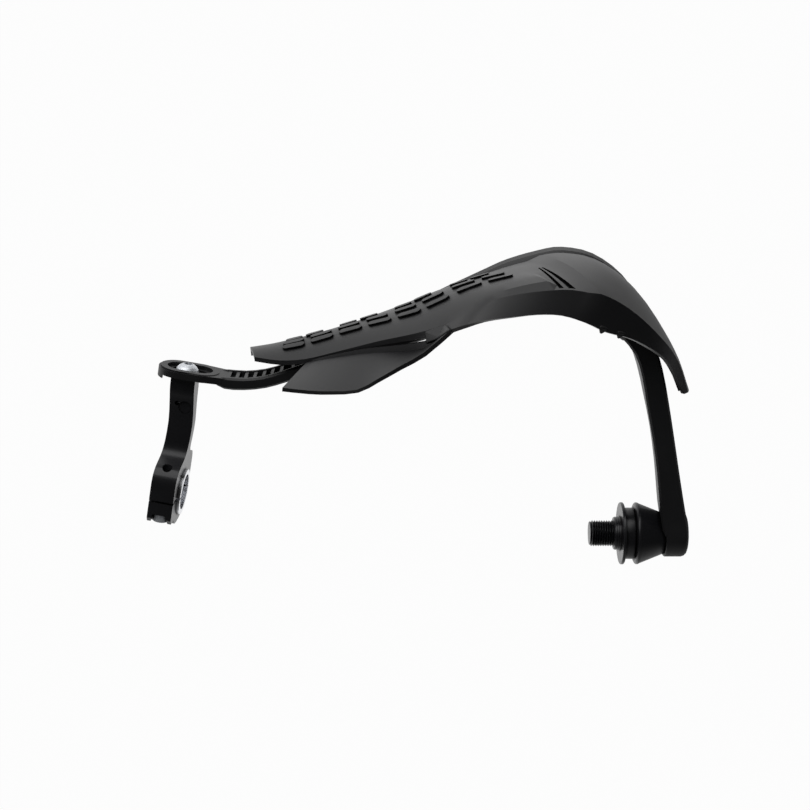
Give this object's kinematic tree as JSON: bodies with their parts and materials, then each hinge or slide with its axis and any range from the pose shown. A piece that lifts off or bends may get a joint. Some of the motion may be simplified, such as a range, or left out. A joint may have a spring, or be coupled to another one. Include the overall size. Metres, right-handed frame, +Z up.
{
  "type": "motorcycle hand guard",
  "caption": "Right-hand motorcycle hand guard: moulded shield with winglet and vent on a ribbed backbone, from a bar-end stud to an adjustable clamp arm.",
  "frame": {"origin": "on the bar end's axis, at the shoulder where the stud's thread meets its collar, which bears on the handlebar's end face", "axes": "+X along the bar end's axis, outboard to the rider's right; +Y the way the motorcycle goes; +Z up"},
  "size_m": [0.3335, 0.188, 0.1021],
  "materials": {
    "shield_plastic": "moulded, satin, fine grain",
    "backbone_plastic": "moulded, satin",
    "black_aluminium": "satin black anodised",
    "silver_aluminium": "turned, clear anodised",
    "plated_steel": "zinc plated",
    "black_steel": "blackened"
  },
  "bodies": {
    "bar_end": {"bar_end_stud": "black_aluminium", "bar_end_spacer": "black_aluminium", "bar_end_cone": "black_aluminium", "bar_end_bolt": "black_steel", "bar_end_washer": "plated_steel"},
    "guard": {"backbone": "backbone_plastic", "shield": "shield_plastic", "boss_sleeve": "plated_steel", "shield_screw_inner": "black_steel", "shield_screw_middle": "black_steel", "shield_screw_outer": "black_steel", "shield_screw_end": "black_steel"},
    "carriage": {"slot_screw": "plated_steel"},
    "clamp": {"clamp_arm": "black_aluminium", "clamp_cap": "black_aluminium", "clamp_bolt_upper": "plated_steel", "clamp_bolt_lower": "plated_steel", "reducer_shell_front": "silver_aluminium", "reducer_shell_rear": "silver_aluminium"}
  },
  "joints": [
    {"name": "guard_tilt", "type": "hinge", "parent": "bar_end", "child": "guard", "pos_m": [0.0378, 0, 0], "axis": [1, 0, 0], "range_deg": [-30, 30]},
    {"name": "slot_slide", "type": "slide", "parent": "guard", "child": "carriage", "axis": [0.9848, -0.1736, 0], "range_m": [-0.005, 0.0082]},
    {"name": "arm_swivel", "type": "hinge", "parent": "carriage", "child": "clamp", "pos_m": [-0.26278, 0.09728, -0.018], "axis": [0.1736, 0.9848, 0], "range_deg": [-30, 30]}
  ]
}
